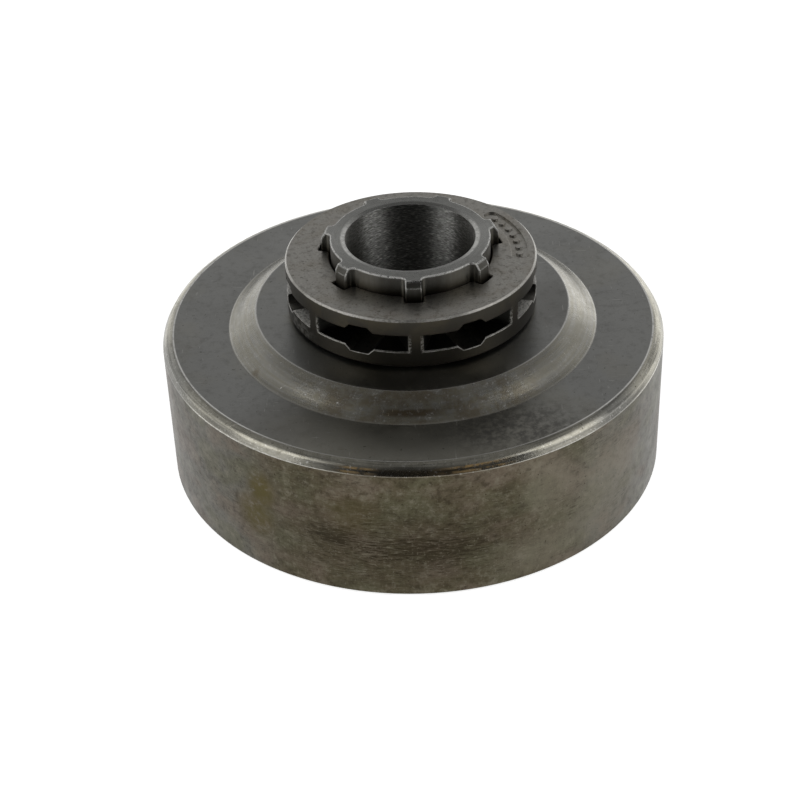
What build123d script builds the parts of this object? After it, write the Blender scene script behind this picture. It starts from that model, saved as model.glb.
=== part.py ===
from build123d import *
import math
import os

# Chainsaw clutch drum with its splined hub and the floating rim sprocket, in millimetres.
# The drum stands on its open edge at z = 0, and +Z is the crankshaft's axis, towards the rim.
# The first tooth and the first spline face -Y.

# Clutch drum: a drawn steel cup with a raised disc in its web
drum_diameter = 71.0
drum_height = 21.3
wall_thickness = 2.4
web_thickness = 2.2
corner_width = 1.45
corner_height = 1.35
corner_ridge_inset = 0.45
corner_ridge_drop = 0.6
corner_crown = 0.09
corner_bend = 0.45
inner_corner_radius = 1.2
mouth_chamfer = 0.4
disc_diameter = 44.2
disc_rise = 2.65
slope_run = 3.95
slope_turn_share = 0.66
slope_bow_share = 0.027
disc_edge_bend = 0.3
slope_foot_bend = 0.4
under_bend = 2.0

# Splined hub: a turned steel bush, seated on the disc by its collar and brazed into the web
spline_count = 7
first_tooth_angle = -90.0
bore_diameter = 18.0
bore_lead_width = 0.65
bore_lead_height = 0.15
hub_wall = 2.1
spline_height = 1.4
spline_width = 2.2
spline_root_fillet = 0.8
spline_tip_round = 0.15
spline_lead_width = 0.6
spline_lead_height = 0.9
hub_edge_round = 0.12
collar_lip = 2.0
collar_height = 0.55
collar_chamfer = 0.2
spigot_reach = 1.2
spigot_chamfer = 0.4
braze_gap = 0.05
hub_proud = 2.7

# Rim sprocket: two flanges joined by teeth, with spline grooves in its bore
flank_play = 0.15
land_play = 0.2
groove_play = 0.45
rim_depth = 4.55
flange_thickness = 2.5
chain_gap = 2.4
rim_chamfer = 0.25
gap_chamfer = 0.12
rim_bore_chamfer = 0.15
tooth_width = 2.0
tooth_flank_angle = 18.0
tooth_round = 0.4
notch_mouth_width = 4.3
notch_floor_width = 2.6
notch_depth = 0.85

# Plain mark on the rim's outer face: a shallow curved pad with a row of raised pips
mark_start_angle = -11.0
mark_sweep = 53.0
mark_width = 2.3
mark_depth = 0.25
pip_count = 7
pip_diameter = 1.0
pip_below_face = 0.05

# Radii and levels that follow from the sizes above
drum_radius = drum_diameter / 2
inner_radius = drum_radius - wall_thickness
disc_level = drum_height + disc_rise
disc_radius = disc_diameter / 2
slope_foot_radius = disc_radius + slope_run
bore_radius = bore_diameter / 2
root_radius = bore_radius + hub_wall
tip_radius = root_radius + spline_height
spigot_radius = tip_radius
collar_radius = tip_radius + collar_lip
hub_bottom = disc_level - web_thickness - spigot_reach
rim_bottom = disc_level + collar_height
rim_height = 2 * flange_thickness + chain_gap
rim_top = rim_bottom + rim_height
hub_top = rim_top + hub_proud
land_radius = root_radius + land_play
groove_radius = tip_radius + groove_play
groove_width = spline_width + 2 * flank_play
rim_radius = groove_radius + rim_depth
pitch_angle = 360 / spline_count
tooth_angles = [first_tooth_angle + step * pitch_angle for step in range(spline_count)]


def polar(radius, angle):
    """Point at a radius and an angle in degrees."""
    return (radius * math.cos(math.radians(angle)), radius * math.sin(math.radians(angle)))


def turned(outline):
    """Solid of revolution about Z from an outline of (radius, height) points."""
    return revolve(Plane.XZ * make_face(Polyline(*outline, close=True)), Axis.Z)


def bowed(start, end, rise):
    """Arc from one point to another that stands off their chord, to its right when rise is positive."""
    chord = Vector(*end) - Vector(*start)
    middle = (Vector(*start) + Vector(*end)) / 2
    return ThreePointArc(start, middle + chord.rotate(Axis.Z, -90).normalized() * rise, end)


def splined_outline(root, tip, width, root_fillet, tip_round):
    """Face of a shaft with parallel-sided splines, rounded at their roots and tips."""
    root_half = math.degrees(math.asin(width / 2 / root))
    tip_half = math.degrees(math.asin(width / 2 / tip))
    edges = []
    for angle in tooth_angles:
        edges.append(Line(polar(root, angle - root_half), polar(tip, angle - tip_half)))
        edges.append(CenterArc((0, 0), tip, angle - tip_half, 2 * tip_half))
        edges.append(Line(polar(tip, angle + tip_half), polar(root, angle + root_half)))
        edges.append(CenterArc((0, 0), root, angle + root_half, pitch_angle - 2 * root_half))
    face = make_face(edges)
    mid_radius = (root + tip) / 2
    face = fillet(face.vertices().filter_by(lambda v: v.center().length < mid_radius), root_fillet)
    return fillet(
        face.vertices().filter_by(lambda v: v.center().length > tip - tip_round / 2), tip_round
    )


def clutch_drum():
    """Drawn cup: wall, crowned corner, flat web, bowed slope and raised disc, with the hub's hole."""
    hole_radius = spigot_radius + braze_gap
    wall_top = (drum_radius, drum_height - corner_height)
    corner_ridge = (drum_radius - corner_ridge_inset, drum_height - corner_ridge_drop)
    web_edge = (drum_radius - corner_width, drum_height)
    slope_angle = math.atan2(disc_rise, slope_run)
    under_shift = web_thickness * math.tan(slope_angle / 2)
    slope_foot = (slope_foot_radius, drum_height)
    disc_edge = (disc_radius, disc_level)
    turn_share = 1 - slope_turn_share
    slope_turn = (slope_foot_radius - turn_share * slope_run, drum_height + turn_share * disc_rise)
    slope_bow = slope_bow_share * math.hypot(slope_run, disc_rise)
    disc_edge_below = (disc_radius - under_shift, disc_level - web_thickness)
    slope_foot_below = (slope_foot_radius - under_shift, drum_height - web_thickness)
    inner_corner = (inner_radius, drum_height - web_thickness)
    outer_wall = Polyline((drum_radius, mouth_chamfer), wall_top, corner_ridge)
    crown = bowed(corner_ridge, web_edge, corner_crown)
    web = Line(web_edge, slope_foot)
    hollow = bowed(slope_foot, slope_turn, -turn_share * slope_bow)
    swell = bowed(slope_turn, disc_edge, slope_turn_share * slope_bow)
    disc = Line(disc_edge, (hole_radius, disc_level))
    inside = Polyline(
        (hole_radius, disc_level),
        (hole_radius, disc_level - web_thickness),
        disc_edge_below,
        slope_foot_below,
        inner_corner,
        (inner_radius, mouth_chamfer),
        (inner_radius + mouth_chamfer, 0),
        (drum_radius - mouth_chamfer, 0),
        (drum_radius, mouth_chamfer),
    )
    face = make_face([outer_wall, crown, web, hollow, swell, disc, inside])
    bends = (
        (wall_top, corner_bend),
        (slope_foot, slope_foot_bend),
        (disc_edge, disc_edge_bend),
        (disc_edge_below, under_bend),
        (slope_foot_below, under_bend),
        (inner_corner, inner_corner_radius),
    )
    for corner, radius in bends:
        face = fillet(face.vertices().sort_by_distance(corner)[0], radius)
    return revolve(Plane.XZ * face, Axis.Z)


def splined_hub():
    """Bush with a spigot through the web, a collar under the rim and splines up to its end."""
    base = turned(
        [
            (0, hub_bottom),
            (spigot_radius - spigot_chamfer, hub_bottom),
            (spigot_radius, hub_bottom + spigot_chamfer),
            (spigot_radius, disc_level),
            (collar_radius, disc_level),
            (collar_radius, rim_bottom - collar_chamfer),
            (collar_radius - collar_chamfer, rim_bottom),
            (0, rim_bottom),
        ]
    )
    outline = splined_outline(
        root_radius, tip_radius, spline_width, spline_root_fillet, spline_tip_round
    )
    splines = Pos(0, 0, rim_bottom) * extrude(outline, hub_top - rim_bottom)
    lead = turned(
        [
            (tip_radius - 2 * spline_lead_width, hub_top + spline_lead_height),
            (tip_radius + spline_lead_width, hub_top - 2 * spline_lead_height),
            (tip_radius + spline_lead_width, hub_top + spline_lead_height),
        ]
    )
    flare = bore_radius + 2 * bore_lead_width
    bore = turned(
        [
            (0, hub_bottom - bore_lead_height),
            (flare, hub_bottom - bore_lead_height),
            (bore_radius, hub_bottom + bore_lead_height),
            (bore_radius, hub_top - bore_lead_height),
            (flare, hub_top + bore_lead_height),
            (0, hub_top + bore_lead_height),
        ]
    )
    hub = base + (splines - lead) - bore
    end_face = hub.faces().sort_by(Axis.Z)[-1]
    edge_round = min(hub_edge_round, 0.8 * spline_tip_round)
    return fillet(end_face.outer_wire().edges(), edge_round)


def rim_flange(outer_chamfer, inner_chamfer):
    """Flat ring whose lower face is an outer face of the rim and whose upper face meets the teeth."""
    ring = extrude(Circle(rim_radius), flange_thickness)
    rings = ring.edges().filter_by(GeomType.CIRCLE).sort_by(Axis.Z)
    ring = chamfer(rings[0], outer_chamfer)
    rings = ring.edges().filter_by(GeomType.CIRCLE).sort_by(Axis.Z)
    return chamfer(rings[-1], inner_chamfer)


def rim_teeth():
    """Teeth between the flanges, flush with them outside and wider towards the bore."""
    tip_half = tooth_width / 2
    foot_half = tip_half + (rim_radius - land_radius) * math.tan(math.radians(tooth_flank_angle))
    tooth = make_face(
        Polyline(
            (land_radius, -foot_half),
            (rim_radius, -tip_half),
            (rim_radius, tip_half),
            (land_radius, foot_half),
            close=True,
        )
    )
    tooth = tooth & Circle(rim_radius)
    corners = tooth.vertices().filter_by(lambda v: v.center().length > rim_radius - tooth_round)
    tooth = fillet(corners, tooth_round)
    return [Rot(0, 0, angle) * extrude(tooth, chain_gap + 2 * gap_chamfer) for angle in tooth_angles]


def chip_notches():
    """Channels halfway between the teeth, cut into both flanges out to the rim's edge."""
    mouth = chain_gap / 2
    floor = mouth + notch_depth
    section = make_face(
        Polyline(
            (-notch_floor_width / 2, -floor),
            (notch_floor_width / 2, -floor),
            (notch_mouth_width / 2, -mouth),
            (notch_mouth_width / 2, mouth),
            (notch_floor_width / 2, floor),
            (-notch_floor_width / 2, floor),
            (-notch_mouth_width / 2, mouth),
            (-notch_mouth_width / 2, -mouth),
            close=True,
        )
    )
    channel = extrude(Plane.YZ * section, rim_radius + rim_chamfer)
    return [Rot(0, 0, angle + pitch_angle / 2) * channel for angle in tooth_angles]


def rim_mark():
    """Pad recess with its pips left standing, to be cut from the rim's outer face."""
    mark_radius = (groove_radius + rim_radius - rim_chamfer) / 2
    end_angle = math.degrees(mark_width / 2 / mark_radius)
    arc = CenterArc((0, 0), mark_radius, mark_start_angle + end_angle, mark_sweep - 2 * end_angle)
    pad = extrude(SlotArc(arc, mark_width), mark_depth)
    pip = extrude(Circle(pip_diameter / 2), mark_depth - pip_below_face)
    for step in range(pip_count):
        angle = mark_start_angle + mark_sweep * (step + 1) / (pip_count + 1)
        pad -= Pos(*polar(mark_radius, angle)) * pip
    return pad


def rim_sprocket():
    """Floating rim: two flanges, the teeth between them and the splined bore."""
    flange = rim_flange(rim_chamfer, gap_chamfer)
    upper = Pos(0, 0, rim_height) * Rot(180, 0, 0) * flange
    teeth = [Pos(0, 0, flange_thickness - gap_chamfer) * tooth for tooth in rim_teeth()]
    notches = [Pos(0, 0, rim_height / 2) * notch for notch in chip_notches()]
    outline = splined_outline(
        land_radius, groove_radius, groove_width, spline_root_fillet, spline_tip_round
    )
    bore = extrude(outline, rim_height)
    rim = (flange - notches) + (upper - notches) + teeth - bore
    for end in (0, -1):
        end_face = rim.faces().sort_by(Axis.Z)[end]
        rim = chamfer(end_face.inner_wires()[0].edges(), rim_bore_chamfer)
    mark = Pos(0, 0, rim_height - mark_depth) * rim_mark()
    return Pos(0, 0, rim_bottom) * (rim - mark)


os.makedirs("parts", exist_ok=True)
export_step(clutch_drum(), "parts/clutch_drum.step")
export_step(splined_hub(), "parts/splined_hub.step")
export_step(rim_sprocket(), "parts/rim_sprocket.step")
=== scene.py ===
import math

import bmesh
import bpy
from mathutils import Matrix, Vector

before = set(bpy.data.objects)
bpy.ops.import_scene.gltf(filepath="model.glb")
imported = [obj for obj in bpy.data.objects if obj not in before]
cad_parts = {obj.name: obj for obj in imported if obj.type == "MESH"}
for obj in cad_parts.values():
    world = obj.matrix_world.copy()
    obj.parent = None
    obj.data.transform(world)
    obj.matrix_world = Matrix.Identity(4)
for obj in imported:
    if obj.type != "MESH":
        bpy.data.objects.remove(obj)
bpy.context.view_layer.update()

scene = bpy.context.scene
scene.view_settings.view_transform = "Standard"

# Floor
# A wide matt white sheet under the drum. It glows to the camera and in reflections, so that it reads
# as white and still takes the drum's shadow, and it stays dark under the closed drum.
floor_side = 3.0
floor_drop = 0.00002
floor_colour = (0.82, 0.82, 0.82, 1.0)
floor_glow = 0.85
covered_radius = 0.0355
covered_edge = 0.0015


def add_node(tree, kind, inputs=None, **settings):
    """A shader node with its settings, and its inputs set to values or linked to sockets."""
    node = tree.nodes.new("ShaderNode" + kind)
    for name, value in settings.items():
        setattr(node, name, value)
    for key, value in (inputs or {}).items():
        if isinstance(value, bpy.types.NodeSocket):
            tree.links.new(value, node.inputs[key])
        else:
            node.inputs[key].default_value = value
    return node


def new_material(name):
    """An empty node material, its tree and its output node."""
    material = bpy.data.materials.new(name)
    material.use_nodes = True
    material.node_tree.nodes.clear()
    return material, material.node_tree, add_node(material.node_tree, "OutputMaterial")


def calculate(tree, operation, first, second, clamp=False):
    """The result of a Math node on two values."""
    return add_node(tree, "Math", {0: first, 1: second}, operation=operation, use_clamp=clamp).outputs[0]


def ramp(tree, value, start, end, low=0.0, high=1.0):
    """A value's smooth step from low, at start, to high, at end."""
    ends = {"Value": value, "From Min": start, "From Max": end, "To Min": low, "To Max": high}
    return add_node(tree, "MapRange", ends, interpolation_type="SMOOTHSTEP").outputs[0]


mesh = bpy.data.meshes.new("floor")
shape = bmesh.new()
bmesh.ops.create_grid(shape, x_segments=1, y_segments=1, size=floor_side / 2)
bmesh.ops.translate(shape, verts=shape.verts, vec=(0, 0, -floor_drop))
shape.to_mesh(mesh)
shape.free()
floor = bpy.data.objects.new("floor", mesh)
scene.collection.objects.link(floor)

floor_paint, tree, output = new_material("white_sheet")
path = add_node(tree, "LightPath").outputs
shown = calculate(tree, "ADD", path["Is Camera Ray"], path["Is Glossy Ray"])
shown = calculate(tree, "ADD", shown, path["Is Transmission Ray"], clamp=True)
place = add_node(tree, "TexCoord").outputs["Object"]
away = add_node(tree, "VectorMath", {0: place}, operation="LENGTH").outputs["Value"]
shown = calculate(tree, "MULTIPLY", shown, ramp(tree, away, covered_radius - covered_edge, covered_radius))
glow = add_node(tree, "Emission", {"Strength": calculate(tree, "MULTIPLY", shown, floor_glow)})
matt = add_node(tree, "BsdfDiffuse", {"Color": floor_colour})
both = add_node(tree, "AddShader", {0: matt.outputs[0], 1: glow.outputs[0]})
tree.links.new(both.outputs[0], output.inputs["Surface"])
mesh.materials.append(floor_paint)

# Camera
# It stands in front of the drum and a little to its left, and looks down on it with a slight roll.
camera_place = (-0.004503, -0.220207, 0.163012)
camera_heading = math.radians(-0.6)
camera_tilt = math.radians(54.667)
camera_roll = math.radians(-2.055)
camera_lens = 82.82
camera_near = 0.01

camera_data = bpy.data.cameras.new("camera")
camera_data.lens = camera_lens
camera_data.clip_start = camera_near
camera = bpy.data.objects.new("camera", camera_data)
turn = Matrix.Rotation(camera_heading, 4, "Z") @ Matrix.Rotation(camera_tilt, 4, "X")
turn = turn @ Matrix.Rotation(camera_roll, 4, "Z")
camera.matrix_world = Matrix.Translation(camera_place) @ turn
scene.collection.objects.link(camera)
scene.camera = camera

# Light
# Two soft boxes stand left and right of the drum, a little nearer the camera, and two low panels
# stand at the back, the right one stronger. The room is pale up to the height of the boxes, and dark
# overhead and behind the camera.
lamp_distance = 0.7
box_bearing, box_rise, box_size, box_glow = 113.0, 31.0, (0.42, 0.47), 1.3
panel_bearing, panel_rise, panel_size = 32.0, 8.0, (0.28, 0.3)
left_panel_glow = 0.35
right_panel_glow = 0.9
room_dark = 0.05
room_low = 0.62
room_high = 0.24
room_overhead = 0.15
front_edge, back_edge = -0.6, 0.0
overhead_from, overhead_to = 0.7, 1.0
low_from, low_to = 0.53, 0.65


def soft_box(name, bearing, rise, size, glow):
    """A lamp that faces the drum, at a bearing in degrees to the right of the back, and its rise."""
    lamp = bpy.data.lights.new(name, "AREA")
    lamp.shape = "RECTANGLE"
    lamp.size, lamp.size_y = size
    lamp.energy = glow * math.pi * lamp.size * lamp.size_y
    stand = bpy.data.objects.new(name, lamp)
    side, up = math.radians(bearing), math.radians(rise)
    towards = Vector((math.sin(side) * math.cos(up), math.cos(side) * math.cos(up), math.sin(up)))
    facing = towards.to_track_quat("Z", "Y").to_matrix().to_4x4()
    stand.matrix_world = Matrix.Translation(towards * lamp_distance) @ facing
    scene.collection.objects.link(stand)


soft_box("soft_box_left", -box_bearing, box_rise, box_size, box_glow)
soft_box("soft_box_right", box_bearing, box_rise, box_size, box_glow)
soft_box("panel_left", -panel_bearing, panel_rise, panel_size, left_panel_glow)
soft_box("panel_right", panel_bearing, panel_rise, panel_size, right_panel_glow)

world = bpy.data.worlds.new("room")
scene.world = world
world.use_nodes = True
tree = world.node_tree
tree.nodes.clear()
direction = add_node(tree, "SeparateXYZ", {0: add_node(tree, "TexCoord").outputs["Generated"]}).outputs
behind_drum = ramp(tree, direction["Y"], front_edge, back_edge)
high_up = ramp(tree, direction["Z"], overhead_from, overhead_to, room_high, room_overhead)
low_down = ramp(tree, direction["Z"], low_to, low_from, 0.0, room_low - room_high)
above_floor = calculate(tree, "ADD", high_up, low_down)
around = calculate(tree, "ADD", calculate(tree, "MULTIPLY", behind_drum, above_floor), room_dark)
to_camera = add_node(tree, "LightPath").outputs["Is Camera Ray"]
strength = add_node(tree, "Mix", {"Factor": to_camera, "A": around, "B": 1.0}, data_type="FLOAT")
background = add_node(tree, "Background", {"Strength": strength.outputs[0]})
room_output = add_node(tree, "OutputWorld")
tree.links.new(background.outputs[0], room_output.inputs["Surface"])

# Clutch drum
# A cup drawn from thick steel sheet and turned on its slope and its corner, with the hub brazed into its
# web. Its wall looks brown and oily and its web a dull grey, both pitted. The patches stand where the
# photograph is darker or paler. Most are stains, but the paler patches on the right of the wall are a
# painted sheen, the dark lower facet of the corner is painted shade, the bright edge lines are partly a
# painted highlight, and two patches on the web are only darker.
web_colour = (0.29, 0.29, 0.278, 1.0)
web_pit_and_shade_colour = (0.13, 0.126, 0.115, 1.0)
slope_colour = (0.38, 0.37, 0.335, 1.0)
slope_olive_colour = (0.305, 0.285, 0.22, 1.0)
slope_stain_colour = (0.18, 0.138, 0.085, 1.0)
corner_colour = (0.52, 0.5, 0.425, 1.0)
corner_brown_colour = (0.14, 0.105, 0.06, 1.0)
corner_rust_colour = (0.5, 0.34, 0.15, 1.0)
wall_grey_colour = (0.1, 0.095, 0.079, 1.0)
wall_brown_colour = (0.076, 0.064, 0.0395, 1.0)
wall_pink_colour = (0.118, 0.094, 0.071, 1.0)
wall_green_colour = (0.086, 0.083, 0.051, 1.0)
wall_pale_and_sheen_colour = (0.165, 0.15, 0.113, 1.0)
wall_dark_colour = (0.028, 0.022, 0.013, 1.0)
wall_olive_colour = (0.074, 0.06, 0.02, 1.0)
inside_colour = (0.22, 0.215, 0.2, 1.0)
rubbed_and_highlight_colour = (0.88, 0.87, 0.83, 1.0)
web_roughness, slope_roughness, corner_roughness, wall_roughness = 0.33, 0.25, 0.27, 0.38

# Places, in millimetres
mm_in_metre = 1000.0
seam = 0.05
disc_edge = 22.1
slope_foot = 26.05
slope_foot_seam = 0.07
slope_turn = 24.7
corner_start = 34.05
corner_ridge = 35.05
ridge_from, ridge_to = -0.25, 0.15
lower_from, lower_to = 0.03, 0.13
wall_top = 19.95
wall_seam_from, wall_seam_to = -0.12, -0.02
wall_outside = 35.5
wall_skin_from, wall_skin_to = 34.6, 35.0
wall_edge_from, wall_edge_to = 35.2, 35.4
wall_inside = 33.1
inside_from, inside_to = 0.6, 0.3
underside_from, underside_to = 19.3, 19.0
web_skin_from, web_skin_to = 21.0, 21.2
disc_line = (disc_edge - 0.03, 0.15)
foot_line = (slope_foot - 0.1, 0.15)
turn_line = (slope_turn, 0.6)
start_line = (corner_start - 0.12, 0.16)
top_line = (wall_top, 0.14)
rust_line_places = ((35.05, 0.14), (35.36, 0.12))
line_core, spot_core = 0.3, 0.2

# Heights of the relief, in millimetres
speckle_height, dash_height, lathe_height = 0.006, 0.015, 0.014
scratch_depth, start_line_height = 0.006, 0.012

# Patches: the angle in degrees, the radius, the height, the size and the share
web_dirt = (-66, 30, 21.3, (14, 8, 3), 0.9)
# Darker patches on the web at the front-left and on the disc at the right.
web_dark_patches = ((-125, 30, 21.3, (9, 8, 2), 0.4), (-5, 20, 23.95, (5, 9, 2), 0.4))
slope_front_dirt = (-93, slope_turn, 22.2, (6.5, 4, 3), 1.0)
slope_left_dirt = (-149, 25.5, 21.7, (0.8, 1.2, 2), 0.5)
nick_size = (0.35, 0.2, 1.5)
slope_nicks = (
    (-136.8, 25.1, 22.1, nick_size, 1.0),
    (-127.4, 24.6, 22.1, nick_size, 1.0),
    (-116.0, 24.4, 22.1, nick_size, 1.0),
)
corner_dull = ((-162, 35.3, 20.3, (7, 15, 3), 1.0), (-42, 35.3, 20.3, (7, 7, 3), 1.0))
corner_stain = (-92, 35.3, 20.3, (16, 4, 3), 0.85)
corner_rust_patches = ((-78, 35.2, 20.3, (7.5, 2.5, 2), 1.0), (-104, 35.2, 20.3, (4, 1.8, 2), 1.0))
# Paler patches on the right of the wall: a painted sheen.
wall_painted_sheen_patches = (
    (-45, wall_outside, 10, (11, 11, 14), 0.55),
    (-62, wall_outside, 15, (6, 6, 8), 0.5),
    (-64, wall_outside, 4, (11, 8, 6), 0.45),
)
wall_oil = (-97, wall_outside, 8.0, (27, 15, 10), 1.0)
wall_smears = ((-110, wall_outside, 9.6, (4.5, 4, 3.0), 1.0), (-90, wall_outside, 8.0, (15, 6, 3.2), 0.8))
wall_olive_patches = (
    (-127, wall_outside, 13.4, (3.2, 3.2, 4.6), 1.0),
    (-129, wall_outside, 9.0, (4.4, 4.4, 5.0), 0.85),
    (-106, wall_outside, 13.5, (6, 3, 5.0), 0.3),
)


def blend(tree, factor, first, second):
    """A colour between two others."""
    inputs = {"Factor": factor, "A": first, "B": second}
    return add_node(tree, "Mix", inputs, data_type="RGBA").outputs["Result"]


def between(tree, factor, first, second):
    """A value between two others."""
    inputs = {"Factor": factor, "A": first, "B": second}
    return add_node(tree, "Mix", inputs, data_type="FLOAT").outputs["Result"]


def turning(tree):
    """Millimetres on a turned piece: the place, its height, its radius, and its outward direction."""
    place = add_node(tree, "TexCoord").outputs["Object"]
    place = add_node(tree, "VectorMath", {0: place, "Scale": mm_in_metre}, operation="SCALE").outputs[0]
    flat = add_node(tree, "VectorMath", {0: place, 1: (1, 1, 0)}, operation="MULTIPLY").outputs[0]
    radius = add_node(tree, "VectorMath", {0: flat}, operation="LENGTH").outputs["Value"]
    outward = add_node(tree, "VectorMath", {0: flat}, operation="NORMALIZE").outputs[0]
    height = add_node(tree, "SeparateXYZ", {0: place}).outputs["Z"]
    return place, height, radius, outward


def part_of(tree, vector, axis):
    """One part of a vector."""
    return add_node(tree, "SeparateXYZ", {0: vector}).outputs[axis]


def grain(tree, place, scale, detail=2.0, breakup=0.5):
    """Noise about 0.5, with as many cycles to the unit along each axis as scale gives."""
    place = add_node(tree, "VectorMath", {0: place, 1: scale}, operation="MULTIPLY").outputs[0]
    inputs = {"Vector": place, "Scale": 1.0, "Detail": detail, "Roughness": breakup}
    return add_node(tree, "TexNoise", inputs).outputs[0]


def rings(tree, outward, radius, around, across, detail=2.0):
    """Noise drawn out round the axis, as a lathe tool leaves it."""
    depth = add_node(tree, "CombineXYZ", {2: calculate(tree, "MULTIPLY", radius, across)}).outputs[0]
    swept = add_node(tree, "VectorMath", {0: outward, "Scale": around}, operation="SCALE").outputs[0]
    place = add_node(tree, "VectorMath", {0: swept, 1: depth}, operation="ADD").outputs[0]
    return grain(tree, place, (1, 1, 1), detail)


def all_of(tree, *masks):
    """The product of some masks and shares."""
    result = masks[0]
    for mask in masks[1:]:
        result = calculate(tree, "MULTIPLY", result, mask)
    return result


def any_of(tree, *masks):
    """The largest of some masks."""
    result = masks[0]
    for mask in masks[1:]:
        result = calculate(tree, "MAXIMUM", result, mask)
    return result


def spot(tree, place, angle, radius, height, size):
    """1 in the middle of a patch at an angle, a radius and a height, fading to 0 at its size."""
    turn = math.radians(angle)
    middle = (radius * math.cos(turn), radius * math.sin(turn), height)
    away = add_node(tree, "VectorMath", {0: place, 1: middle}, operation="SUBTRACT").outputs[0]
    away = add_node(tree, "VectorMath", {0: away, 1: size}, operation="DIVIDE").outputs[0]
    away = add_node(tree, "VectorMath", {0: away}, operation="LENGTH").outputs["Value"]
    return ramp(tree, away, 1.0, spot_core)


def spots(tree, place, *patches):
    """The largest of some patches, each at its share."""
    return any_of(tree, *[all_of(tree, spot(tree, place, *where), share) for *where, share in patches])


def line_at(tree, value, middle, half_width):
    """1 where a value is at the middle, fading to 0 at half the width on each side."""
    away = calculate(tree, "ABSOLUTE", calculate(tree, "SUBTRACT", value, middle), 0.0)
    return ramp(tree, away, half_width, line_core * half_width)


def coat(tree, under, colour, *masks):
    """One colour laid over another, as far as the product of some masks and shares."""
    return blend(tree, all_of(tree, *masks), under, colour)


def steel(tree, output, colour, metal, roughness, relief, brushing=0.0, edge_round=0.0):
    """A metal surface with its relief in millimetres, brushed round its axis, its edges worn round."""
    bump = add_node(tree, "Bump", {"Height": relief, "Distance": 1 / mm_in_metre})
    if edge_round:
        rounded = add_node(tree, "Bevel", {"Radius": edge_round}, samples=6)
        tree.links.new(rounded.outputs[0], bump.inputs["Normal"])
    inputs = {"Base Color": colour, "Metallic": metal, "Roughness": roughness, "Normal": bump.outputs[0]}
    surface = add_node(tree, "BsdfPrincipled", inputs)
    surface.inputs["Anisotropic"].default_value = brushing
    surface.inputs["Anisotropic Rotation"].default_value = 0.25
    tree.links.new(surface.outputs[0], output.inputs["Surface"])


def dress(piece, material):
    """Gives a piece of the frame its one material."""
    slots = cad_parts[piece].data.materials
    slots.clear()
    slots.append(material)


drum_steel, tree, output = new_material("drum_steel")
place, height, radius, outward = turning(tree)
facing = part_of(tree, add_node(tree, "TexCoord").outputs["Normal"], "Z")
rightward = part_of(tree, outward, "X")
backward = part_of(tree, outward, "Y")
frontness = ramp(tree, backward, -0.65, -0.99)

speckle = grain(tree, place, (3.2, 3.2, 3.2), 3.0, 0.6)
mottle = grain(tree, place, (0.8, 0.8, 0.9), 5.0, 0.72)
pitting = grain(tree, place, (1.7, 1.7, 1.7))
clouds = grain(tree, place, (0.14, 0.14, 0.14), 4.0, 0.55)
tints = grain(tree, place, (0.13, 0.13, 0.2), 3.0)
smudges = grain(tree, place, (0.3, 0.3, 0.35), 6.0, 0.7)
dashes = grain(tree, place, (0.7, 0.7, 6.0), 4.0, 0.62)
lathe = rings(tree, outward, radius, 5.0, 2.6, 4.0)
streaks = rings(tree, outward, radius, 2.5, 4.5, 4.0)
corner_streaks = rings(tree, outward, radius, 4.0, 3.4, 4.0)
scratch_grains = [grain(tree, place, scale) for scale in ((4.5, 0.4, 1.0), (0.4, 4.5, 1.3))]
scratches = any_of(tree, *[ramp(tree, scratch_grain, 0.68, 0.76) for scratch_grain in scratch_grains])

past_disc = ramp(tree, radius, disc_edge - seam, disc_edge + seam)
before_foot = ramp(tree, radius, slope_foot + slope_foot_seam, slope_foot - slope_foot_seam)
on_slope = all_of(tree, past_disc, before_foot)
above_wall = ramp(tree, height, wall_top + wall_seam_from, wall_top + wall_seam_to)
on_corner = all_of(tree, ramp(tree, radius, corner_start - seam, corner_start + seam), above_wall)
past_ridge = ramp(tree, radius, corner_ridge + ridge_from, corner_ridge + ridge_to)
below_ridge = all_of(tree, past_ridge, above_wall)
below_corner = ramp(tree, above_wall, 1.0, 0.0)
on_wall = all_of(tree, below_corner, ramp(tree, radius, wall_skin_from, wall_skin_to))
within_wall = ramp(tree, radius, wall_inside + inside_from, wall_inside + inside_to)
hidden = all_of(tree, within_wall, ramp(tree, height, underside_from, underside_to))
hidden = any_of(tree, hidden, ramp(tree, facing, -0.2, -0.5))

pits = ramp(tree, speckle, 0.6, 0.72)
sparse_pits = ramp(tree, pitting, 0.7, 0.76)
web = coat(tree, web_colour, web_pit_and_shade_colour, pits, 0.35)
web = coat(tree, web, web_pit_and_shade_colour, ramp(tree, mottle, 0.48, 0.72), 0.3)
web = coat(tree, web, slope_olive_colour, ramp(tree, tints, 0.5, 0.65), 0.15)
web = coat(tree, web, slope_olive_colour, frontness, 0.5)
web = coat(tree, web, web_pit_and_shade_colour, spots(tree, place, web_dirt), ramp(tree, mottle, 0.34, 0.62))
web = coat(tree, web, web_pit_and_shade_colour, spots(tree, place, *web_dark_patches))
web = coat(tree, web, wall_dark_colour, sparse_pits, 0.5)
web = coat(tree, web, rubbed_and_highlight_colour, scratches, ramp(tree, clouds, 0.45, 0.6), 0.3)

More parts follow.
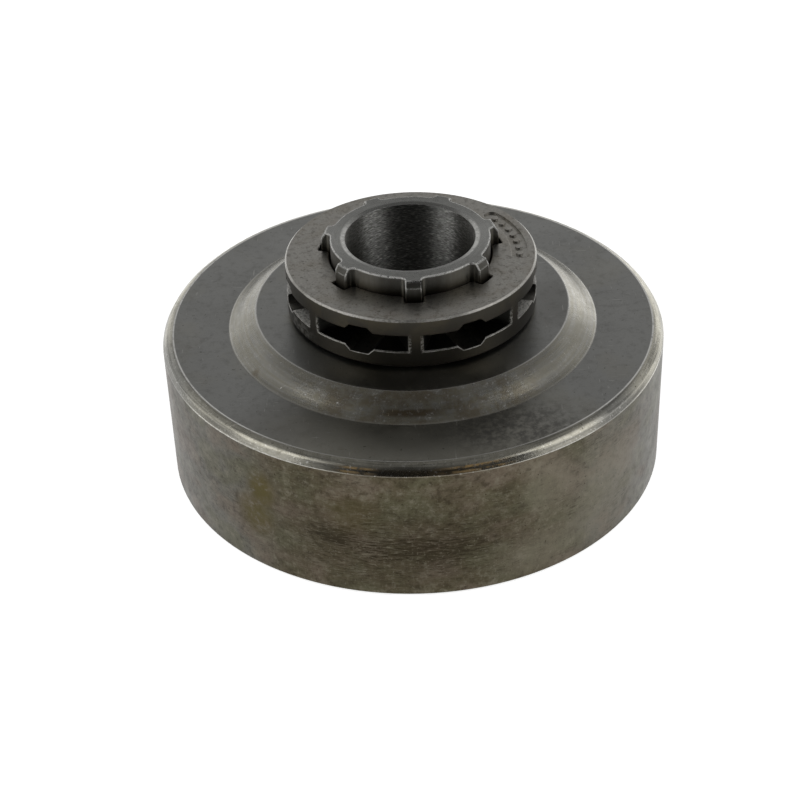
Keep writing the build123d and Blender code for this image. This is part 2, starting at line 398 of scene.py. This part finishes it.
blotched = ramp(tree, frontness, 0.0, 0.8, 0.25, 0.75)
slope = coat(tree, slope_colour, web_colour, ramp(tree, lathe, 0.4, 0.65), 0.5)
slope = coat(tree, slope, slope_olive_colour, ramp(tree, streaks, 0.4, 0.6), 0.45)
slope = coat(tree, slope, slope_olive_colour, ramp(tree, mottle, 0.42, 0.6), blotched)
slope = coat(tree, slope, web_pit_and_shade_colour, pits, blotched, 0.7)
slope_dirt = all_of(tree, spots(tree, place, slope_front_dirt), line_at(tree, radius, *turn_line))
slope_dirt = any_of(tree, slope_dirt, all_of(tree, frontness, ramp(tree, smudges, 0.42, 0.58), 0.6))
slope_dirt = any_of(tree, slope_dirt, spots(tree, place, slope_left_dirt))
slope = coat(tree, slope, slope_stain_colour, slope_dirt, ramp(tree, mottle, 0.3, 0.5, 0.4, 0.9))
flecks = all_of(tree, ramp(tree, speckle, 0.46, 0.36), ramp(tree, mottle, 0.5, 0.38))
slope = coat(tree, slope, rubbed_and_highlight_colour, flecks, blotched, 0.7)

corner = coat(tree, corner_colour, slope_olive_colour, ramp(tree, mottle, 0.45, 0.65), blotched, 0.7)
dulled = spots(tree, place, *corner_dull)
corner = coat(tree, corner, web_colour, dulled, 0.75)
# Painted shade: the corner's lower facet is darkened all round except at the far right.
lower_facet_painted_shade = ramp(tree, radius, corner_ridge + lower_from, corner_ridge + lower_to)
lower_facet_painted_shade = all_of(tree, lower_facet_painted_shade, ramp(tree, rightward, 0.95, 0.85))
corner = coat(tree, corner, web_pit_and_shade_colour, lower_facet_painted_shade, 0.45)
corner = coat(tree, corner, corner_brown_colour, spots(tree, place, corner_stain), below_ridge)
rust_lines = any_of(tree, *[line_at(tree, radius, *rust_line) for rust_line in rust_line_places])
corner_rust = all_of(tree, spots(tree, place, *corner_rust_patches), above_wall, rust_lines)
corner_rust = all_of(tree, corner_rust, ramp(tree, mottle, 0.36, 0.5))
corner = coat(tree, corner, corner_rust_colour, corner_rust)
corner = coat(tree, corner, web_pit_and_shade_colour, ramp(tree, corner_streaks, 0.46, 0.62), 0.5)
corner = coat(tree, corner, web_pit_and_shade_colour, pits, 0.55)
corner = coat(tree, corner, rubbed_and_highlight_colour, ramp(tree, speckle, 0.42, 0.3), 0.45)
corner = coat(tree, corner, wall_dark_colour, sparse_pits, 0.9)

brownness = ramp(tree, calculate(tree, "ADD", all_of(tree, clouds, 0.6), frontness), 0.4, 1.0)
wall = coat(tree, wall_grey_colour, wall_brown_colour, brownness)
wall = coat(tree, wall, wall_pink_colour, ramp(tree, tints, 0.48, 0.64), 0.75)
wall = coat(tree, wall, wall_green_colour, ramp(tree, tints, 0.52, 0.36), 0.7)
wall = coat(tree, wall, wall_pale_and_sheen_colour, ramp(tree, smudges, 0.5, 0.72), 0.55)
wall = coat(tree, wall, wall_dark_colour, ramp(tree, smudges, 0.5, 0.28), 0.45)
wall = coat(tree, wall, wall_dark_colour, ramp(tree, mottle, 0.5, 0.7), 0.6)
wall = coat(tree, wall, wall_pale_and_sheen_colour, ramp(tree, mottle, 0.48, 0.28), 0.7)
# Painted sheen: paler patches on the right of the wall.
for wall_sheen_patch in wall_painted_sheen_patches:
    wall = coat(tree, wall, wall_pale_and_sheen_colour, spots(tree, place, wall_sheen_patch))
oily = spots(tree, place, wall_oil)
wall = coat(tree, wall, wall_dark_colour, oily, 0.38)
smear = spots(tree, place, *wall_smears)
dark_dashes = ramp(tree, calculate(tree, "ADD", dashes, all_of(tree, smear, 0.1)), 0.55, 0.63)
dash_share = any_of(tree, oily, all_of(tree, ramp(tree, clouds, 0.4, 0.6), 0.5))
wall = coat(tree, wall, wall_dark_colour, smear, ramp(tree, mottle, 0.3, 0.55), 0.5)
wall = coat(tree, wall, wall_dark_colour, dark_dashes, dash_share)
wall = coat(tree, wall, wall_pale_and_sheen_colour, ramp(tree, dashes, 0.42, 0.28), dash_share, 0.8)
wall = coat(tree, wall, wall_dark_colour, sparse_pits, 0.8)
wall = coat(tree, wall, wall_pale_and_sheen_colour, ramp(tree, speckle, 0.42, 0.28), 0.45)
wall = coat(tree, wall, wall_dark_colour, pits, 0.55)
olive = spots(tree, place, *wall_olive_patches)
wall = coat(tree, wall, wall_olive_colour, olive, ramp(tree, mottle, 0.25, 0.55))

colour = coat(tree, web, slope, on_slope)
colour = coat(tree, colour, corner, on_corner)
colour = coat(tree, colour, wall, on_wall)
colour = coat(tree, colour, inside_colour, hidden)
broken = ramp(tree, mottle, 0.3, 0.5, 0.4, 1.0)
# Painted highlight, partly worn metal: bright lines along the disc edge, the slope's foot and the corner's
# start, dimmer at the front.
edge = all_of(tree, line_at(tree, radius, *disc_line), 0.6)
edge = any_of(tree, edge, all_of(tree, line_at(tree, radius, *foot_line), 0.2))
on_web = ramp(tree, height, web_skin_from, web_skin_to)
corner_line = all_of(tree, line_at(tree, radius, *start_line), on_web)
edge = any_of(tree, edge, corner_line)
edge = all_of(tree, edge, broken, ramp(tree, frontness, 0.0, 1.0, 1.0, 0.4))
# Painted highlight: a bright line along the top of the wall, left out at the front.
wall_line = all_of(tree, line_at(tree, height, *top_line), ramp(tree, radius, wall_edge_from, wall_edge_to))
wall_line = all_of(tree, wall_line, ramp(tree, backward, -0.97, -0.85), broken)
wall_line = all_of(tree, wall_line, ramp(tree, dulled, 0.0, 0.8, 0.45, 0.1), ramp(tree, speckle, 0.35, 0.55))
edge = any_of(tree, edge, wall_line)
nicks = any_of(tree, all_of(tree, corner_rust, on_corner, 0.7), spots(tree, place, *slope_nicks))
colour = coat(tree, colour, rubbed_and_highlight_colour, any_of(tree, edge, ramp(tree, nicks, 0.7, 1.0)))
metal = ramp(tree, nicks, 0.0, 1.0, 1.0, 0.1)

roughness = between(tree, on_slope, web_roughness, slope_roughness)
roughness = between(tree, on_corner, roughness, corner_roughness)
roughness = between(tree, on_wall, roughness, wall_roughness)
roughness = calculate(tree, "ADD", roughness, ramp(tree, clouds, 0.3, 0.7, -0.04, 0.05))
roughness = calculate(tree, "ADD", roughness, all_of(tree, ramp(tree, mottle, 0.4, 0.7), 0.05))
turned = any_of(tree, on_slope, on_corner)
relief = all_of(tree, speckle, speckle_height)
relief = calculate(tree, "ADD", relief, all_of(tree, dashes, on_wall, dash_share, dash_height))
relief = calculate(tree, "ADD", relief, all_of(tree, lathe, turned, lathe_height))
relief = calculate(tree, "SUBTRACT", relief, all_of(tree, scratches, scratch_depth))
relief = calculate(tree, "ADD", relief, all_of(tree, corner_line, start_line_height))
steel(tree, output, colour, metal, roughness, relief)
dress("clutch_drum", drum_steel)

# Splined hub
# A steel bush turned from bar, with its splines cut along it and its bore honed, brazed into the web. Its
# end has bright burred edges, partly a painted highlight. Its sides darken towards the rim in painted
# shade. The bore is darker at the left and the right in painted shade, and the lip brighter there in a
# painted highlight.
hub_face_colour = (0.28, 0.28, 0.266, 1.0)
hub_face_dull_colour = (0.18, 0.178, 0.168, 1.0)
hub_side_colour = (0.12, 0.115, 0.1, 1.0)
hub_dark_and_shade_colour = (0.06, 0.054, 0.042, 1.0)
hub_bore_colour = (0.3, 0.3, 0.285, 1.0)
burr_and_highlight_colour = (0.95, 0.94, 0.9, 1.0)
hub_side_roughness, hub_end_roughness, hub_bore_roughness = 0.33, 0.24, 0.5
hub_brushing = 0.97
hub_end = 34.6
hub_end_from, hub_end_to = -0.3, -0.15
hub_bore = 9.0
hub_bore_from, hub_bore_to = 0.06, 0.02
lip_line = (hub_bore + 0.35, 0.45)
rim_face_level = 31.9
foot_from, foot_to = 1.6, 0.1
burr_reach = 0.00024
burr_inner_from, burr_inner_to = 0.8, 1.2
burr_foot_from, burr_foot_to = -1.9, -0.7
hub_speckle_height, honing_height, hub_lathe_height = 0.005, 0.028, 0.006


def outward_edge(tree, reach):
    """1 along outward edges, fading to 0 a short way in."""
    thin = add_node(tree, "AmbientOcclusion", {"Distance": reach}, inside=True, only_local=True, samples=8)
    return ramp(tree, thin.outputs["AO"], 0.97, 0.8)


hub_steel, tree, output = new_material("hub_steel")
place, height, radius, outward = turning(tree)
sideways = calculate(tree, "ABSOLUTE", part_of(tree, outward, "X"), 0.0)
speckle = grain(tree, place, (4.0, 4.0, 4.0), 3.0, 0.6)
mottle = grain(tree, place, (1.3, 1.3, 1.3), 4.0, 0.6)
lathe = rings(tree, outward, radius, 5.0, 4.5, 3.0)
cutting = grain(tree, place, (1.6, 1.6, 0.15), 3.0)
honing = grain(tree, place, (1.6, 1.6, 9.0), 3.0, 0.55)
on_end = ramp(tree, height, hub_end + hub_end_from, hub_end + hub_end_to)
in_bore = ramp(tree, radius, hub_bore + hub_bore_from, hub_bore + hub_bore_to)
near_foot = ramp(tree, height, rim_face_level + foot_from, rim_face_level + foot_to)

face = coat(tree, hub_face_colour, hub_face_dull_colour, ramp(tree, lathe, 0.35, 0.7), 0.4)
face = coat(tree, face, hub_face_dull_colour, ramp(tree, mottle, 0.5, 0.75), 0.5)
side = coat(tree, hub_side_colour, hub_face_dull_colour, ramp(tree, cutting, 0.4, 0.7), 0.3)
# Painted shade: the sides darken towards the rim face.
side = coat(tree, side, hub_dark_and_shade_colour, near_foot)
# Painted highlight: the lip of the bore is brighter at the left and the right.
lip_painted_highlight = all_of(tree, line_at(tree, radius, *lip_line), ramp(tree, sideways, 0.6, 0.95))
face = coat(tree, face, burr_and_highlight_colour, lip_painted_highlight, ramp(tree, mottle, 0.35, 0.6, 0.25, 0.55))
honed_and_shaded = coat(tree, hub_bore_colour, burr_and_highlight_colour, ramp(tree, honing, 0.48, 0.7), 0.7)
honed_and_shaded = coat(tree, honed_and_shaded, hub_dark_and_shade_colour, ramp(tree, honing, 0.48, 0.3), 0.6)
# Painted shade: the bore is darker at the left and the right.
honed_and_shaded = coat(tree, honed_and_shaded, hub_dark_and_shade_colour, ramp(tree, sideways, 0.6, 0.85), 0.55)
colour = coat(tree, side, face, on_end)
colour = coat(tree, colour, honed_and_shaded, in_bore)
# Burred edges, made bright partly as a painted highlight.
burr_and_highlight = all_of(tree, outward_edge(tree, burr_reach), ramp(tree, mottle, 0.34, 0.5))
burr_and_highlight = all_of(tree, burr_and_highlight, ramp(tree, radius, hub_bore + burr_inner_from, hub_bore + burr_inner_to))
burr_and_highlight = all_of(tree, burr_and_highlight, ramp(tree, height, hub_end + burr_foot_from, hub_end + burr_foot_to))
colour = coat(tree, colour, burr_and_highlight_colour, burr_and_highlight)
metal = ramp(tree, burr_and_highlight, 0.0, 1.0, 1.0, 0.0)
roughness = between(tree, on_end, hub_side_roughness, hub_end_roughness)
roughness = between(tree, in_bore, roughness, hub_bore_roughness)
roughness = calculate(tree, "ADD", roughness, ramp(tree, speckle, 0.3, 0.7, -0.04, 0.05))
relief = all_of(tree, speckle, hub_speckle_height)
relief = calculate(tree, "ADD", relief, all_of(tree, honing, in_bore, honing_height))
relief = calculate(tree, "ADD", relief, all_of(tree, lathe, on_end, hub_lathe_height))
steel(tree, output, colour, metal, roughness, relief, hub_brushing)
dress("splined_hub", hub_steel)

# Rim sprocket
# A ring of sintered steel that floats on the splines. Its faces are warm grey and grainy and its outside
# is smooth and dark. The lower edges of its windows and its top edge are worn bright, partly a painted
# highlight. The bright edges of its posts, the bright window floors at the left and the right, and a
# pale patch on the left of the lower flange are painted highlights. The dark inside of the chain gap is
# painted shade.
rim_face_colour = (0.39, 0.376, 0.345, 1.0)
rim_brown_colour = (0.33, 0.305, 0.26, 1.0)
rim_pit_colour = (0.1, 0.095, 0.08, 1.0)
rim_side_colour = (0.062, 0.057, 0.047, 1.0)
rim_side_warm_colour = (0.082, 0.072, 0.053, 1.0)
rim_dark_and_shade_colour = (0.05, 0.05, 0.044, 1.0)
worn_and_highlight_colour = (0.75, 0.735, 0.69, 1.0)
rim_side_roughness = 0.34
rim_top = 31.9
rim_face_from, rim_face_to = -0.27, -0.2
rim_outside = 17.5
rim_side_from, rim_side_to = -0.06, -0.02
top_edge_in_from, top_edge_in_to = -0.3, -0.2
top_edge_up_from, top_edge_up_to = -0.35, -0.2
gap_bottom, gap_middle, gap_top = 27.0, 28.2, 29.4
gap_line = (gap_middle, 3.0)
window_line = (gap_middle, 1.75)
floor_line = (gap_bottom, 0.1)
gap_floor_inner, gap_floor_outer = 14.6, 16.9
tooth_pitch = 2 * math.pi / 7
post_line = (0.82, 0.3)
post_skin_from, post_skin_to = 16.4, 16.9
low_edge_reach = 0.00013
low_edge_drop = 0.4
low_edge_foot_from, low_edge_foot_to = 25.9, 26.2
low_edge_skin_from, low_edge_skin_to = 17.1, 17.25
flange_painted_highlight = (-155, rim_outside, 25.6, (4, 6, 2), 0.3)
rim_face_height, rim_side_height = 0.018, 0.006
rim_edge_round = 0.00015

rim_steel, tree, output = new_material("rim_steel")
place, height, radius, outward = turning(tree)
facing = part_of(tree, add_node(tree, "TexCoord").outputs["Normal"], "Z")
rightward = part_of(tree, outward, "X")
backward = part_of(tree, outward, "Y")
sideways = calculate(tree, "ABSOLUTE", rightward, 0.0)
speckle = grain(tree, place, (3.6, 3.6, 3.6), 3.0, 0.65)
mottle = grain(tree, place, (1.2, 1.2, 1.2), 4.0, 0.6)
clouds = grain(tree, place, (0.3, 0.3, 0.3), 4.0, 0.55)
bearing = calculate(tree, "ARCTAN2", rightward, backward)
teeth = calculate(tree, "DIVIDE", calculate(tree, "ADD", bearing, math.pi), tooth_pitch)
off_tooth = calculate(tree, "PINGPONG", teeth, 0.5)
off_tooth = calculate(tree, "MULTIPLY", off_tooth, tooth_pitch * rim_outside)

on_face = ramp(tree, height, rim_top + rim_face_from, rim_top + rim_face_to)
below_face = ramp(tree, on_face, 1.0, 0.0)
on_side = ramp(tree, radius, rim_outside + rim_side_from, rim_outside + rim_side_to)
on_side = all_of(tree, on_side, below_face)
# Painted shade: the inside of the chain gap is dark.
gap_painted_shade = all_of(tree, line_at(tree, height, *gap_line), ramp(tree, on_side, 1.0, 0.0))
at_post_edge = all_of(tree, line_at(tree, off_tooth, *post_line), line_at(tree, height, *window_line))
at_post_edge = all_of(tree, at_post_edge, ramp(tree, radius, post_skin_from, post_skin_to))
on_top_edge = ramp(tree, radius, rim_outside + top_edge_in_from, rim_outside + top_edge_in_to)
near_top = ramp(tree, height, rim_top + top_edge_up_from, rim_top + top_edge_up_to)
on_top_edge = all_of(tree, on_top_edge, near_top)

face = coat(tree, rim_face_colour, rim_brown_colour, ramp(tree, clouds, 0.42, 0.7), 0.7)
face = coat(tree, face, rim_pit_colour, ramp(tree, mottle, 0.5, 0.72), 0.5)
face = coat(tree, face, rim_pit_colour, ramp(tree, speckle, 0.56, 0.72), 0.75)
face = coat(tree, face, worn_and_highlight_colour, ramp(tree, speckle, 0.4, 0.28), 0.35)
browned = all_of(tree, ramp(tree, clouds, 0.42, 0.62), ramp(tree, height, gap_bottom, gap_top, 0.15, 0.8))
side = coat(tree, rim_side_colour, rim_side_warm_colour, browned)
side = coat(tree, side, rim_dark_and_shade_colour, ramp(tree, mottle, 0.52, 0.72), 0.4)
colour = coat(tree, face, side, on_side)
colour = coat(tree, colour, rim_dark_and_shade_colour, gap_painted_shade)

# The lower edges of the windows are worn bright, partly a painted highlight.
low_edge = all_of(tree, outward_edge(tree, low_edge_reach), ramp(tree, mottle, 0.38, 0.55, 0.3, 1.0))
low_edge = all_of(tree, low_edge, ramp(tree, height, gap_middle, gap_middle - low_edge_drop))
low_edge = all_of(tree, low_edge, ramp(tree, height, low_edge_foot_from, low_edge_foot_to))
low_edge = all_of(tree, low_edge, ramp(tree, radius, low_edge_skin_from, low_edge_skin_to))
# Painted highlight: bright bands along the edges of the posts.
post_painted_highlight = all_of(tree, ramp(tree, speckle, 0.42, 0.58), ramp(tree, height, gap_top, gap_bottom, 0.25, 0.7))
wear_and_highlights = any_of(tree, low_edge, all_of(tree, at_post_edge, post_painted_highlight))
# Painted light: the window floors are bright only in the windows at the left and the right.
gap_floor = all_of(tree, line_at(tree, height, *floor_line), ramp(tree, facing, 0.7, 0.9))
gap_floor = all_of(tree, gap_floor, ramp(tree, radius, gap_floor_inner, gap_floor_outer, 0.1, 1.0))
floor_painted_light = all_of(tree, ramp(tree, sideways, 0.74, 0.84), ramp(tree, speckle, 0.32, 0.58, 0.45, 1.0))
wear_and_highlights = any_of(tree, wear_and_highlights, all_of(tree, gap_floor, floor_painted_light))
# The top edge is worn bright, partly a painted highlight.
top_wear_and_highlight = all_of(tree, ramp(tree, clouds, 0.35, 0.55), ramp(tree, speckle, 0.3, 0.55), 0.7)
wear_and_highlights = any_of(tree, wear_and_highlights, all_of(tree, on_top_edge, top_wear_and_highlight))
# Painted highlight: a pale patch on the left of the lower flange.
flange_highlight = all_of(tree, spots(tree, place, flange_painted_highlight), on_side, ramp(tree, mottle, 0.45, 0.62))
wear_and_highlights = any_of(tree, wear_and_highlights, flange_highlight)
colour = coat(tree, colour, worn_and_highlight_colour, wear_and_highlights)
metal = ramp(tree, wear_and_highlights, 0.0, 1.0, 1.0, 0.2)
roughness = between(tree, on_side, ramp(tree, speckle, 0.3, 0.7, 0.32, 0.42), rim_side_roughness)
relief = calculate(tree, "MULTIPLY", speckle, between(tree, on_side, rim_face_height, rim_side_height))
steel(tree, output, colour, metal, roughness, relief, edge_round=rim_edge_round)
dress("rim_sprocket", rim_steel)
